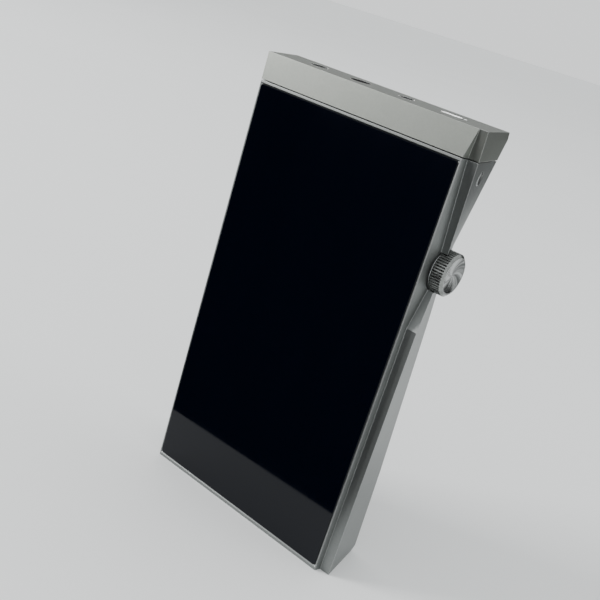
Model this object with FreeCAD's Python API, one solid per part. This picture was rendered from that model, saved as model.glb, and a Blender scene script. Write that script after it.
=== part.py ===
import FreeCAD
import Part
import math
import os

# Portable digital audio player, standing upright on its lower edge.
# Millimetres. X runs to the right seen from the front, Z upwards, Y backwards.
# Depths are measured backwards from the front glass plane and turned into Y by yd().

# ---- overall sizes -------------------------------------------------------
WIDTH = 77.0
HEIGHT = 137.0
DEPTH = 19.9
MODULE_HEIGHT = 8.0
SEAM_GAP = 0.3

# ---- outline of the faceted right side, measured inwards from the widest point
FRONT_IN = 4.3
CREASE_IN = 3.7
RIDGE_IN = 0.5
RIDGE_IN_WHEEL = 1.65
REAR_IN = 3.5
REAR_IN_WHEEL = 7.0
APEX_IN = 2.5
LEFT_SLANT = 4.04
LEDGE_DEPTH = 2.1
LEDGE_DEPTH_WHEEL = 6.4
REAR_BEVEL = 1.0
REAR_BEVEL_RISE = 2.0

# ---- volume wheel --------------------------------------------------------
WHEEL_BELOW_BAY = 5.3
WHEEL_R = 6.25
WHEEL_WIDTH = 4.25
WHEEL_PROUD = 0.7
WHEEL_TEETH = 48
TOOTH_DEPTH = 0.28
DISH_DEPTH = 0.62
WHEEL_GAP = 0.3
SHAFT_R = 1.5
SHAFT_RUNNING = 0.06
BUSHING_R = 3.0

# ---- display -------------------------------------------------------------
GLASS_T = 1.0
GLUE_T = 0.25
GLASS_RIM_LEFT = 0.4
GLASS_RIM_RIGHT = 0.55
GLASS_RIM_BOTTOM = 1.3
GLASS_RIM_TOP = 0.95
GLASS_GAP = 0.05
LEDGE_W = 2.0
PANEL_T = 1.4
TRAY_T = 0.8
PLATE_T = 0.8

# ---- housing -------------------------------------------------------------
WALL = 4.0
REAR_T = 1.2
REAR_GLUE_T = 0.2
REAR_LEDGE_W = 1.8
FIT = 0.1
BAY_DEPTH = 24.4
BAY_FLOOR_T = 1.5
BAY_WALL = 0.8
BAY_GAP = 0.3
MOD_WALL = 0.9
CAP_ROOF = 1.6

# ---- sockets along the top edge: place in the row, bore radius, ring radius, length
SOCKETS = {
    "35": (0.0, 1.80, 2.75, 14.5),
    "44": (0.329, 2.25, 3.15, 17.5),
    "25": (0.671, 1.30, 2.30, 12.0),
}
SOCKET_INSET = 6.86
ROW_INSET = 4.1
RING_T = 0.6
RING_LIP = 0.35
RING_CONE_DEPTH = 0.45
BUSH_LENGTH = 5.0
BUSH_WALL = 0.45
SOCKET_WALL = 0.9
SOCKET_CLEAR = 0.15

# ---- buttons -------------------------------------------------------------
KEY_TRAVEL = 0.3
KEY_GAP = 0.15
SWITCH_CLEAR = 0.04
POWER_LENGTH = 6.85
POWER_WIDTH = 3.0
LIGHT_R = 0.5
LIGHT_GAP = 0.35
SIDE_KEY_LENGTH = 8.0
SIDE_KEY_WIDTH = 2.6
SIDE_KEY_PROUD = 0.4
SIDE_KEYS = ("previous", "play", "next")
KEY_BELOW_BAY = 9.8
KEY_PITCH = 12.0
RELEASE_DROP = 13.0
RELEASE_R = 1.9
RELEASE_TRAVEL = 0.8
RELEASE_PROUD = 0.15
RELEASE_DISH_R = 1.45
RELEASE_DISH_DEPTH = 0.16

# ---- connectors at the lower edge ---------------------------------------
USB_WIDTH = 8.94
USB_THICK = 3.2
USB_LENGTH = 7.3
USB_WALL = 0.3
CARD_X = 20.0
CARD_WIDTH = 11.4
CARD_THICK = 1.1

# ---- boards and battery --------------------------------------------------
BOARD_T = 1.0
BOARD_GAP = 2.0
SHIELD_T = 1.9
IO_BOARD_TOP = 21.0
FLEX_Z = 16.0
FLEX_T = 0.15

# ---- derived -------------------------------------------------------------
HALF = WIDTH / 2
MID = DEPTH / 2
SEAM_Z = HEIGHT - MODULE_HEIGHT
BODY_TOP = SEAM_Z - SEAM_GAP
BAY_Z0 = BODY_TOP - BAY_DEPTH
CAVITY_Z1 = BAY_Z0 - BAY_FLOOR_T
WHEEL_Z = CAVITY_Z1 - WHEEL_BELOW_BAY
TIP_RISE = math.sqrt((WHEEL_R + WHEEL_GAP) ** 2 - (MID - LEDGE_DEPTH_WHEEL) ** 2)
LOW_TIP = WHEEL_Z - TIP_RISE
HIGH_TIP = WHEEL_Z + TIP_RISE
FRONT_LEFT = -HALF + LEFT_SLANT
FRONT_RIGHT = HALF - FRONT_IN
WHEEL_FACE_X = HALF + WHEEL_PROUD
WHEEL_BACK_X = WHEEL_FACE_X - WHEEL_WIDTH
WHEEL_WALL_X = WHEEL_BACK_X - 0.35
GLASS = (
    FRONT_LEFT + GLASS_RIM_LEFT,
    FRONT_RIGHT - GLASS_RIM_RIGHT,
    GLASS_RIM_BOTTOM,
    BODY_TOP - GLASS_RIM_TOP,
)
SHELF_D = GLASS_T + GLUE_T
OPENING = (GLASS[0] + LEDGE_W, GLASS[1] - LEDGE_W, GLASS[2] + LEDGE_W, GLASS[3] - LEDGE_W)
PLATE_D = GLASS_T + PANEL_T + TRAY_T + 0.2
CAVITY_X0 = OPENING[0]
CAVITY_X1 = HALF - 9.5
REAR_D = DEPTH - REAR_T
CAVITY_D1 = REAR_D - REAR_GLUE_T
BAY_X0 = CAVITY_X0 + 1.0
BAY_X1 = CAVITY_X1 - 0.5
BAY_FRONT = PLATE_D + PLATE_T + BAY_WALL
BAY_BACK = CAVITY_D1 - 0.9
REAR_PANEL = (-HALF + 1.9, HALF - REAR_IN_WHEEL - 1.4, 3.0, BODY_TOP - 2.7)
BOARD_D = PLATE_D + PLATE_T + BOARD_GAP
BOARD = (CAVITY_X0 + 3.8, CAVITY_X1 - 7.0, IO_BOARD_TOP + 3.0, CAVITY_Z1 - 1.5)
TRAY_D = BOARD_D + BOARD_T + SHIELD_T + 0.7
RELEASE_Z = HEIGHT - RELEASE_DROP
CATCH_X = BAY_X1 + RELEASE_TRAVEL - 0.2
STOP_X = CATCH_X + 1.4
MOD_X0 = BAY_X0 + BAY_GAP
MOD_X1 = BAY_X1 - BAY_GAP
MOD_D0 = BAY_FRONT + BAY_GAP
MOD_D1 = BAY_BACK - BAY_GAP
MOD_Z0 = BAY_Z0 + 2.0
ROOF_Z = HEIGHT - CAP_ROOF
SOCKET_HALF = max(entry[1] for entry in SOCKETS.values()) + BUSH_WALL + SOCKET_WALL
SOCKET_D = MOD_D0 + MOD_WALL + SOCKET_CLEAR + SOCKET_HALF
MOD_BOARD_D = SOCKET_D + SOCKET_HALF + 0.4
LIGHT_X = MOD_X1 - MOD_WALL - LIGHT_R
POWER_X = LIGHT_X - LIGHT_R - LIGHT_GAP - POWER_LENGTH / 2
POWER_FOOT_Z = ROOF_Z - 0.8
POWER_SWITCH_TOP = POWER_FOOT_Z - KEY_TRAVEL - SWITCH_CLEAR


def yd(depth):
    return depth - DEPTH / 2


def box(x0, x1, d0, d1, z0, z1):
    return Part.makeBox(x1 - x0, d1 - d0, z1 - z0, FreeCAD.Vector(x0, yd(d0), z0))


def cyl_x(d, z, r, x0, x1):
    return Part.makeCylinder(r, x1 - x0, FreeCAD.Vector(x0, yd(d), z), FreeCAD.Vector(1, 0, 0))


def cyl_y(x, z, r, d0, d1):
    return Part.makeCylinder(r, d1 - d0, FreeCAD.Vector(x, yd(d0), z), FreeCAD.Vector(0, 1, 0))


def cyl_z(x, d, r, z0, z1):
    return Part.makeCylinder(r, z1 - z0, FreeCAD.Vector(x, yd(d), z0), FreeCAD.Vector(0, 0, 1))


def rounded(shape, axis, radius):
    """Rounds the four edges of a box that run along the named axis."""
    keep = {"x": 0, "y": 1, "z": 2}[axis]
    edges = [e for e in shape.Edges if abs(e.tangentAt(e.FirstParameter)[keep]) > 0.99]
    return shape.makeFillet(radius, edges)


def plate(x0, x1, z0, z1, d0, d1, radius):
    return rounded(box(x0, x1, d0, d1, z0, z1), "y", radius)


def frame(outer, inner, d0, d1, radius):
    ring = plate(*outer, d0, d1, radius)
    return ring.cut(plate(*inner, d0 - 1, d1 + 1, max(radius - 0.3, 0.3)))


def grown(rect, by):
    return (rect[0] - by, rect[1] + by, rect[2] - by, rect[3] + by)


def between(a, b, share):
    return a + (b - a) * share


def socket_x(share):
    """X of a socket by its place in the row between the insets from the module's inner walls."""
    first = MOD_X0 + MOD_WALL + SOCKET_INSET
    last = MOD_X1 - MOD_WALL - ROW_INSET
    return between(first, last, share)


def polygon(points):
    return Part.makePolygon(points + points[:1])


def save(name, shape):
    """Writes a node with the origin moved to the middle of the overall width, wheel included."""
    shape.translate(FreeCAD.Vector(-WHEEL_PROUD / 2, 0, 0))
    shape.exportStep("parts/" + name + ".step")


def save_all(nodes):
    for name, shape in nodes.items():
        save(name, shape)


def section(z, front, crease, ridge, rear, rear_depth):
    """Outline of the body at one height: right side facets, then the slanted left side."""
    right = [front, crease, ridge, (rear, rear_depth)]
    left = [(-HALF, rear_depth), (FRONT_LEFT, 0.0)]
    return polygon([FreeCAD.Vector(x, yd(d), z) for x, d in right + left])


def body_section(z, ledge, ridge_in, rear_in, rear_depth=DEPTH):
    return section(
        z,
        (FRONT_RIGHT, 0.0),
        (HALF - CREASE_IN, ledge),
        (HALF - ridge_in, ledge),
        HALF - rear_in,
        rear_depth,
    )


def body_outline():
    """Two wings that thin towards the wheel from above and below."""
    sections = [
        body_section(0.0, LEDGE_DEPTH, RIDGE_IN, REAR_IN, DEPTH - REAR_BEVEL),
        body_section(REAR_BEVEL_RISE, LEDGE_DEPTH, RIDGE_IN, REAR_IN - 0.2),
        body_section(0.3 * WHEEL_Z, LEDGE_DEPTH, RIDGE_IN, REAR_IN + 0.5),
        body_section(0.83 * WHEEL_Z, LEDGE_DEPTH, RIDGE_IN, 0.9 * REAR_IN_WHEEL),
        body_section(LOW_TIP, LEDGE_DEPTH_WHEEL, RIDGE_IN_WHEEL + 0.2, REAR_IN_WHEEL),
        body_section(HIGH_TIP, LEDGE_DEPTH_WHEEL - 0.1, RIDGE_IN_WHEEL, REAR_IN_WHEEL),
        body_section(BODY_TOP, LEDGE_DEPTH, RIDGE_IN, REAR_IN + 0.15),
    ]
    return Part.makeLoft(sections, True, True)


def module_outline():
    """Upper cap: its front plane widens upwards, so the ledge below it closes to a point."""
    low = section(
        SEAM_Z,
        (FRONT_RIGHT, 0.0),
        (HALF - CREASE_IN, LEDGE_DEPTH),
        (HALF - RIDGE_IN, LEDGE_DEPTH),
        HALF - REAR_IN - 0.1,
        DEPTH,
    )

    def upper(z, rear_in, rear_depth):
        rise = (z - SEAM_Z) / MODULE_HEIGHT
        front = HALF - FRONT_IN + (FRONT_IN - APEX_IN) * rise
        crease = HALF - CREASE_IN + (CREASE_IN - APEX_IN + 0.04) * rise
        depth = LEDGE_DEPTH + (0.25 - LEDGE_DEPTH) * rise
        ridge = HALF - RIDGE_IN * (1 - rise)
        return section(z, (front, 0.0), (crease, depth), (ridge, depth), HALF - rear_in, rear_depth)

    shoulder = upper(HEIGHT - REAR_BEVEL_RISE, REAR_IN - 0.7, DEPTH)
    top = upper(HEIGHT, REAR_IN - 0.9, DEPTH - REAR_BEVEL)
    return Part.makeLoft([low, shoulder, top], True, True)


def pill_x(d, z, length, width, x0, x1):
    """Rounded-end bar standing along Z, extruded along X."""
    bar = box(x0, x1, d - width / 2, d + width / 2, z - length / 2, z + length / 2)
    return rounded(bar, "x", width / 2 - 0.01)


def pill_z(x, d, length, width, z0, z1):
    """Rounded-end bar lying along X, extruded along Z."""
    bar = box(x - length / 2, x + length / 2, d - width / 2, d + width / 2, z0, z1)
    return rounded(bar, "z", width / 2 - 0.01)


def side_key_z(name):
    return CAVITY_Z1 - KEY_BELOW_BAY - KEY_PITCH * SIDE_KEYS.index(name)


def housing():
    body = body_outline()
    body = body.cut(plate(*grown(GLASS, GLASS_GAP), -1, SHELF_D, 0.9))
    body = body.cut(glass_edge_bevel())
    body = body.cut(plate(*OPENING, 0, BAY_FRONT - BAY_WALL, 0.8))
    body = body.cut(box(CAVITY_X0, CAVITY_X1, 3.0, REAR_D, WALL, CAVITY_Z1))
    body = body.cut(box(BAY_X0, BAY_X1, BAY_FRONT, BAY_BACK, BAY_Z0, BODY_TOP + 1))
    body = body.cut(plate(*REAR_PANEL, CAVITY_D1, DEPTH + 1, 2.0))
    body = body.cut(box(-8, 8, BAY_FRONT + 1.0, BAY_BACK - 1.0, CAVITY_Z1 - 1, BAY_Z0 + 1))
    body = body.cut(wheel_pocket())
    body = body.cut(key_slots())
    body = body.cut(release_bore())
    body = body.cut(edge_sockets())
    return body.fuse(bosses()).removeSplitter()


def glass_edge_bevel():
    """Narrow polished bevel that runs round the glass pocket."""
    rect = grown(GLASS, GLASS_GAP)
    low = [
        FreeCAD.Vector(rect[0], yd(0.25), rect[2]),
        FreeCAD.Vector(rect[1], yd(0.25), rect[2]),
        FreeCAD.Vector(rect[1], yd(0.25), rect[3]),
        FreeCAD.Vector(rect[0], yd(0.25), rect[3]),
    ]
    wide = grown(rect, 0.27)
    high = [
        FreeCAD.Vector(wide[0], yd(-0.02), wide[2]),
        FreeCAD.Vector(wide[1], yd(-0.02), wide[2]),
        FreeCAD.Vector(wide[1], yd(-0.02), wide[3]),
        FreeCAD.Vector(wide[0], yd(-0.02), wide[3]),
    ]
    return Part.makeLoft([polygon(low), polygon(high)], True, True)


def wheel_pocket():
    pocket = cyl_x(MID, WHEEL_Z, WHEEL_R + WHEEL_GAP, WHEEL_WALL_X, WHEEL_FACE_X + 1)
    bore = cyl_x(MID, WHEEL_Z, BUSHING_R, CAVITY_X1 - 1, WHEEL_WALL_X + 1)
    return pocket.fuse(bore)


def key_slots():
    slots = []
    for name in SIDE_KEYS:
        z = side_key_z(name)
        length, width = SIDE_KEY_LENGTH + 2 * KEY_GAP, SIDE_KEY_WIDTH + 2 * KEY_GAP
        slots.append(pill_x(MID, z, length, width, -HALF - 1, CAVITY_X0 + 0.5))
        slots.append(box(CAVITY_X0 - 1.3, CAVITY_X0 + 0.5, MID - 2.4, MID + 2.4, z - 5.2, z + 5.2))
    return slots[0].multiFuse(slots[1:])


def release_bore():
    hole = cyl_x(MID, RELEASE_Z, RELEASE_R + KEY_GAP, STOP_X, HALF + 1)
    pocket = box(CATCH_X - RELEASE_TRAVEL, STOP_X + 1.4, MID - 3.2, MID + 3.2, RELEASE_Z - 9.2, RELEASE_Z + 2.6)
    return hole.fuse(pocket)


def edge_sockets():
    usb = pill_z(0, MID, USB_WIDTH + 0.1, USB_THICK + 0.1, -1, WALL + 1)
    half = CARD_WIDTH / 2
    card = box(CARD_X - half, CARD_X + half, MID - CARD_THICK / 2, MID + CARD_THICK / 2, -1, WALL + 1)
    return usb.fuse(card)


LEFT_SCREW_X = CAVITY_X0 + 2.0
RIGHT_SCREW_X = CAVITY_X1 - 2.0
LOW_SCREW_Z = BOARD[2] + 6.0
MID_SCREW_Z = side_key_z("next") - SIDE_KEY_LENGTH - 4.0
TRAY_SCREWS = [
    (LEFT_SCREW_X, LOW_SCREW_Z),
    (RIGHT_SCREW_X, LOW_SCREW_Z),
    (LEFT_SCREW_X, MID_SCREW_Z),
    (RIGHT_SCREW_X, MID_SCREW_Z),
]
PLATE_SCREWS = TRAY_SCREWS + [
    (LEFT_SCREW_X, CAVITY_Z1 - 2.4),
    (RIGHT_SCREW_X, WHEEL_Z - 12.7),
]


def bosses():
    """Screw ribs that stand out of the side walls and carry the plate and the battery tray."""
    ribs = []
    for x, z in PLATE_SCREWS:
        x0 = CAVITY_X0 - 0.5 if x < 0 else x - 1.6
        x1 = x + 1.6 if x < 0 else CAVITY_X1 + 0.5
        rib = box(x0, x1, PLATE_D + PLATE_T, TRAY_D, z - 2.0, z + 2.0)
        rib = rib.cut(cyl_y(x, z, 0.6, PLATE_D, PLATE_D + PLATE_T + 3.2))
        ribs.append(rib.cut(cyl_y(x, z, 0.6, TRAY_D - 2.6, TRAY_D + 1)))
    return ribs[0].multiFuse(ribs[1:])


def screw(x, z, head_d, direction, length, head_r=1.2, shank_r=0.6, head_t=0.6):
    """Pan-head machine screw along Y with a cross recess; direction +1 points backwards."""
    axis = FreeCAD.Vector(0, direction, 0)
    base = FreeCAD.Vector(x, yd(head_d), z)
    head = Part.makeCylinder(head_r, head_t, base, axis * -1)
    shank = Part.makeCylinder(shank_r, length, base, axis)
    body = head.fuse(shank)
    top_d = head_d - direction * head_t
    for w, h in ((1.4, 0.3), (0.3, 1.4)):
        low, high = sorted((top_d - 0.3, top_d + 0.3))
        body = body.cut(box(x - w / 2, x + w / 2, low, high, z - h / 2, z + h / 2))
    return body


def display_stack():
    glass = plate(*GLASS, 0, GLASS_T, 0.85)
    ring = [e for e in glass.Edges if abs(e.CenterOfMass.y - yd(0)) < 1e-6]
    glass = glass.makeChamfer(0.15, ring)
    inner = grown(OPENING, -0.2)
    panel_rect = grown(OPENING, -0.4)
    tray = plate(*panel_rect, GLASS_T + PANEL_T, PLATE_D - 0.2, 0.5)
    for share in (0.33, 0.67):
        z = between(OPENING[2], OPENING[3], share)
        x0, x1 = between(OPENING[0], OPENING[1], 0.12), between(OPENING[0], OPENING[1], 0.88)
        tray = tray.cut(box(x0, x1, GLASS_T + PANEL_T + 0.4, PLATE_D, z - 0.8, z + 0.8))
    gap_d = PLATE_D - 0.2
    bend = FLEX_Z - 0.2
    flex = box(-5, 5, gap_d, gap_d + FLEX_T, FLEX_Z - 6.0, bend + FLEX_T)
    riser = box(-5, 5, gap_d, BOARD_D, bend, bend + FLEX_T)
    tail = box(-5, 5, BOARD_D - FLEX_T, BOARD_D, bend, BOARD[2] + 3.0)
    return {
        "display_flex": flex.fuse([riser, tail]).removeSplitter(),
        "cover_glass": glass,
        "glass_adhesive": frame(GLASS, inner, GLASS_T, SHELF_D, 0.8),
        "display_panel": plate(*panel_rect, GLASS_T, GLASS_T + PANEL_T, 0.5),
        "backlight_tray": tray,
    }


def mid_plate():
    d0, d1 = PLATE_D, PLATE_D + PLATE_T
    sheet = plate(OPENING[0] + 0.2, CAVITY_X1 - 0.2, WALL + 0.2, CAVITY_Z1 - 0.2, d0, d1, 0.5)
    for x, z in PLATE_SCREWS:
        sheet = sheet.cut(cyl_y(x, z, 0.7, d0 - 1, d1 + 1))
        sheet = sheet.cut(cyl_y(x, z, 1.35, d0 - 1, d0 + 0.6))
    for z in (FLEX_Z, between(FLEX_Z, CAVITY_Z1, 0.35), between(FLEX_Z, CAVITY_Z1, 0.69)):
        sheet = sheet.cut(plate(-6, 6, z - 1.5, z + 1.5, d0 - 1, d1 + 1, 1.0))
    for x, z in BOARD_SCREWS:
        sheet = sheet.fuse(cyl_y(x, z, 1.6, d1 - 0.1, BOARD_D))
        sheet = sheet.cut(cyl_y(x, z, 0.6, d1, BOARD_D + 1))
    return {"mid_plate": sheet.removeSplitter()}


BOARD_SCREWS = [
    (BOARD[0] + 2.2, BOARD[2] + 2.2),
    (BOARD[1] - 2.2, BOARD[2] + 2.2),
    (BOARD[0] + 2.2, BOARD[3] - 2.2),
    (BOARD[1] - 2.2, BOARD[3] - 2.2),
]


def main_board():
    d0, d1 = BOARD_D, BOARD_D + BOARD_T
    board = plate(*BOARD, d0, d1, 1.0)
    for x, z in BOARD_SCREWS:
        board = board.cut(cyl_y(x, z, 0.7, d0 - 1, d1 + 1))
    screws = [screw(x, z, d1, -1, 2.6) for x, z in BOARD_SCREWS]
    screws += [screw(x, z, PLATE_D + 0.6, 1, 2.6) for x, z in PLATE_SCREWS]
    x0, x1, z0, z1 = BOARD
    high, low = between(z0, z1, 0.73), between(z0, z1, 0.5)
    left, middle = between(x0, x1, 0.18), between(x0, x1, 0.46)
    return {
        "main_board": board,
        "frame_screws": Part.makeCompound(screws),
        "processor": chip(middle, high, 13.0, 13.0, d1, SHIELD_T - 0.8),
        "memory_chip": chip(left, high, 10.0, 12.0, d1, 1.0),
        "storage_chip": chip(left, low, 11.5, 13.0, d1, 1.0),
        "shield_can": shield_can(middle, high, 16.0, d1, SHIELD_T),
    }


def chip(x, z, width, height, d0, thick):
    return box(x - width / 2, x + width / 2, d0, d0 + thick, z - height / 2, z + height / 2)


def shield_can(x, z, side, d0, height):
    can = chip(x, z, side, side, d0, height)
    return can.cut(chip(x, z, side - 0.5, side - 0.5, d0 - 1, height + 0.75))


TRAY = (CAVITY_X0 + 0.3, CAVITY_X1 - 0.3, BOARD[2] + 2.0, CAVITY_Z1 - 2.0)
BATTERY = (CAVITY_X0 + 5.0, CAVITY_X1 - 9.0, BOARD[2] + 6.0, CAVITY_Z1 - 5.0)


def battery_pack():
    d0, d1 = TRAY_D, TRAY_D + 0.6
    tray = plate(TRAY[0], TRAY[1], TRAY[2], TRAY[3], d0, d1, 1.0)
    relief = box(CAVITY_X1 - 7.2, CAVITY_X1, d0 - 1, d1 + 1, WHEEL_Z - 8.0, CAVITY_Z1)
    tray = tray.cut(relief)
    keys_low = side_key_z("next") - 8.0
    tray = tray.cut(box(CAVITY_X0, CAVITY_X0 + 3.4, d0 - 1, d1 + 1, keys_low, CAVITY_Z1))
    for x, z in TRAY_SCREWS:
        tray = tray.cut(cyl_y(x, z, 0.7, d0 - 1, d1 + 1))
    cell = rounded(box(BATTERY[0], BATTERY[1], d1, CAVITY_D1 - 0.5, BATTERY[2], BATTERY[3]), "z", 1.8)
    board_back = BOARD_D + BOARD_T
    lead = box(-3, 3, board_back, MID + 2.2, TRAY[2] - 0.8, TRAY[2] - 0.6)
    tail = box(-3, 3, board_back, board_back + 0.2, BOARD[2] + 0.4, TRAY[2] - 0.6)
    riser = box(-3, 3, MID + 2.0, MID + 2.2, TRAY[2] - 0.8, BATTERY[2])
    screws = [screw(x, z, d1, -1, 2.2) for x, z in TRAY_SCREWS]
    return {
        "battery_tray": tray,
        "battery_cell": cell,
        "battery_lead": lead.fuse([tail, riser]).removeSplitter(),
        "tray_screws": Part.makeCompound(screws),
    }


IO_BOARD_D = MID + USB_THICK / 2 + 0.1


def lower_edge():
    board = plate(-14, CARD_X + 7.5, WALL + 0.4, IO_BOARD_TOP, IO_BOARD_D, IO_BOARD_D + 0.8, 0.8)
    shell = pill_z(0, MID, USB_WIDTH, USB_THICK, 0.3, 0.3 + USB_LENGTH)
    inner = pill_z(0, MID, USB_WIDTH - 2 * USB_WALL, USB_THICK - 2 * USB_WALL, -1, 0.3 + USB_LENGTH - 0.8)
    tongue = rounded(box(-3.3, 3.3, MID - 0.35, MID + 0.35, 1.4, 0.3 + USB_LENGTH - 0.8), "y", 0.3)
    half = CARD_WIDTH / 2
    front = MID - CARD_THICK / 2
    card = box(CARD_X - half - 1.3, CARD_X + half + 1.3, front - 0.4, IO_BOARD_D, WALL + 0.2, WALL + 15.0)
    slot = box(CARD_X - half, CARD_X + half, front, MID + CARD_THICK / 2, WALL, WALL + 13.5)
    back_d = BOARD_D + BOARD_T
    bend = IO_BOARD_TOP - 0.4
    flex = box(-11, -5, IO_BOARD_D - FLEX_T, IO_BOARD_D, bend - 8.0, IO_BOARD_TOP)
    riser = box(-11, -5, back_d, IO_BOARD_D, bend, bend + FLEX_T)
    tail = box(-11, -5, back_d, back_d + FLEX_T, bend, BOARD[2] + 7.0)
    return {
        "io_board": board,
        "usb_shell": shell.cut(inner),
        "usb_tongue": tongue,
        "card_socket": card.cut(slot),
        "board_flex": flex.fuse([riser, tail]).removeSplitter(),
    }


def rear_panel():
    rect = grown(REAR_PANEL, -FIT)
    panel = plate(*rect, REAR_D, DEPTH, 1.9)
    edge = [e for e in panel.Edges if abs(e.CenterOfMass.y - yd(DEPTH)) < 1e-6]
    return {
        "rear_cover": panel.makeChamfer(0.2, edge),
        "rear_adhesive": frame(rect, grown(REAR_PANEL, -REAR_LEDGE_W), CAVITY_D1, REAR_D, 1.8),
    }


def wheel_profile():
    """Half section of the rim, turned about the wheel axis: bevelled outer edge, dished face."""
    x0 = WHEEL_BACK_X
    r = WHEEL_R
    points = [
        (x0, SHAFT_R + 0.8),
        (x0, r - 0.25),
        (x0 + 0.25, r),
        (WHEEL_FACE_X - 0.75, r),
        (WHEEL_FACE_X - 0.05, r - 0.8),
        (WHEEL_FACE_X - 0.05, r - 1.0),
        (WHEEL_FACE_X - 1.0, r - 1.0),
        (WHEEL_FACE_X - 1.0, SHAFT_R + 0.8),
    ]
    wire = polygon([FreeCAD.Vector(x, yd(MID) + rad, WHEEL_Z) for x, rad in points])
    return Part.Face(wire).revolve(FreeCAD.Vector(0, yd(MID), WHEEL_Z), FreeCAD.Vector(1, 0, 0), 360)


def knurl():
    """Straight-knurled bar as wide as the rim, before it is turned to its profile."""
    points = []
    for k in range(WHEEL_TEETH):
        for step, radius in ((0.0, WHEEL_R - TOOTH_DEPTH), (0.3, WHEEL_R), (0.7, WHEEL_R)):
            angle = 2 * math.pi * (k + step) / WHEEL_TEETH
            y = yd(MID) + radius * math.cos(angle)
            points.append(FreeCAD.Vector(WHEEL_BACK_X, y, WHEEL_Z + radius * math.sin(angle)))
    return Part.Face(polygon(points)).extrude(FreeCAD.Vector(WHEEL_WIDTH, 0, 0))


def wheel_dish():
    """Polished disc with a hollow face, set into the rim."""
    radius = WHEEL_R - 1.03
    mouth = radius - 0.15
    ball_r = (mouth**2 + DISH_DEPTH**2) / (2 * DISH_DEPTH)
    disc = cyl_x(MID, WHEEL_Z, radius, WHEEL_FACE_X - 0.97, WHEEL_FACE_X - 0.1)
    centre = FreeCAD.Vector(WHEEL_FACE_X - 0.1 - DISH_DEPTH + ball_r, yd(MID), WHEEL_Z)
    return disc.cut(Part.makeSphere(ball_r, centre))


def wheel_group():
    shaft = cyl_x(MID, WHEEL_Z, SHAFT_R, CAVITY_X1 - 4.0, WHEEL_FACE_X - 1.0)
    hub = cyl_x(MID, WHEEL_Z, SHAFT_R + 0.8, WHEEL_BACK_X, WHEEL_FACE_X - 1.0)
    bushing_x1 = WHEEL_WALL_X - 0.1
    bushing = cyl_x(MID, WHEEL_Z, BUSHING_R - 0.02, CAVITY_X1, bushing_x1)
    bushing = bushing.cut(cyl_x(MID, WHEEL_Z, SHAFT_R + SHAFT_RUNNING, CAVITY_X1 - 1, HALF))
    nut = cyl_x(MID, WHEEL_Z, BUSHING_R + 1.2, CAVITY_X1 - 1.0, CAVITY_X1)
    nut = nut.cut(cyl_x(MID, WHEEL_Z, SHAFT_R + SHAFT_RUNNING, CAVITY_X1 - 2, HALF))
    body = box(CAVITY_X1 - 6.2, CAVITY_X1 - 1.0, MID - 3.6, MID + 3.6, WHEEL_Z - 5.6, WHEEL_Z + 3.6)
    body = body.cut(cyl_x(MID, WHEEL_Z, SHAFT_R + SHAFT_RUNNING, CAVITY_X1 - 5.0, HALF))
    glow = cyl_x(MID, WHEEL_Z, WHEEL_R - 0.7, WHEEL_WALL_X, WHEEL_WALL_X + 0.15)
    glow = glow.cut(cyl_x(MID, WHEEL_Z, WHEEL_R - 1.5, WHEEL_WALL_X - 1, WHEEL_WALL_X + 1))
    return {
        "wheel_rim": wheel_profile().common(knurl()),
        "wheel_dish": wheel_dish(),
        "wheel_shaft": shaft.fuse(hub).removeSplitter(),
        "wheel_bushing": bushing.fuse(nut).removeSplitter(),
        "wheel_encoder": body,
        "wheel_light_ring": glow,
    }


def slanted_cut(offset):
    """Everything to the left of a plane parallel to the slanted left wall."""
    x_front = FRONT_LEFT - offset
    x_rear = x_front - LEFT_SLANT
    points = [
        FreeCAD.Vector(x_front, yd(0), -5),
        FreeCAD.Vector(x_rear, yd(DEPTH), -5),
        FreeCAD.Vector(x_rear - 20, yd(DEPTH), -5),
        FreeCAD.Vector(x_front - 20, yd(0), -5),
    ]
    return Part.Face(polygon(points)).extrude(FreeCAD.Vector(0, 0, HEIGHT + 10))


def side_keys():
    nodes = {}
    switch_x = CAVITY_X0 + KEY_TRAVEL + 0.1
    for name in SIDE_KEYS:
        z = side_key_z(name)
        cap = pill_x(MID, z, SIDE_KEY_LENGTH, SIDE_KEY_WIDTH, -HALF - 1, CAVITY_X0 - 0.9)
        cap = cap.cut(slanted_cut(SIDE_KEY_PROUD))
        flange = box(CAVITY_X0 - 1.2, CAVITY_X0 - 0.5, MID - 2.2, MID + 2.2, z - 5.0, z + 5.0)
        stem = cyl_x(MID, z, 0.7, CAVITY_X0 - 0.6, CAVITY_X0 + 0.05)
        nodes["key_" + name] = cap.fuse([flange, stem]).removeSplitter()
        base = box(switch_x + 0.35, switch_x + 1.2, MID - 1.6, MID + 1.6, z - 2.2, z + 2.2)
        dome = cyl_x(MID, z, 0.9, switch_x, switch_x + 0.4)
        nodes["switch_" + name] = base.fuse(dome).removeSplitter()
    x0 = switch_x + 1.2
    low, high = side_key_z(SIDE_KEYS[-1]) - 4.0, side_key_z(SIDE_KEYS[0]) + 4.0
    nodes["key_board"] = box(x0, x0 + 0.5, MID - 2.6, MID + 2.6, low, high)
    return nodes


def side_face(z):
    """X of the right side face at mid-depth and its change of X per depth, between seam and wheel."""
    t = (BODY_TOP - z) / (BODY_TOP - HIGH_TIP)
    ridge_x = HALF - RIDGE_IN - t * (RIDGE_IN_WHEEL - RIDGE_IN)
    ridge_d = LEDGE_DEPTH + t * (LEDGE_DEPTH_WHEEL - 0.1 - LEDGE_DEPTH)
    rear_x = HALF - REAR_IN - 0.15 - t * (REAR_IN_WHEEL - REAR_IN - 0.15)
    slope = (rear_x - ridge_x) / (DEPTH - ridge_d)
    return ridge_x + slope * (MID - ridge_d), slope


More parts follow.
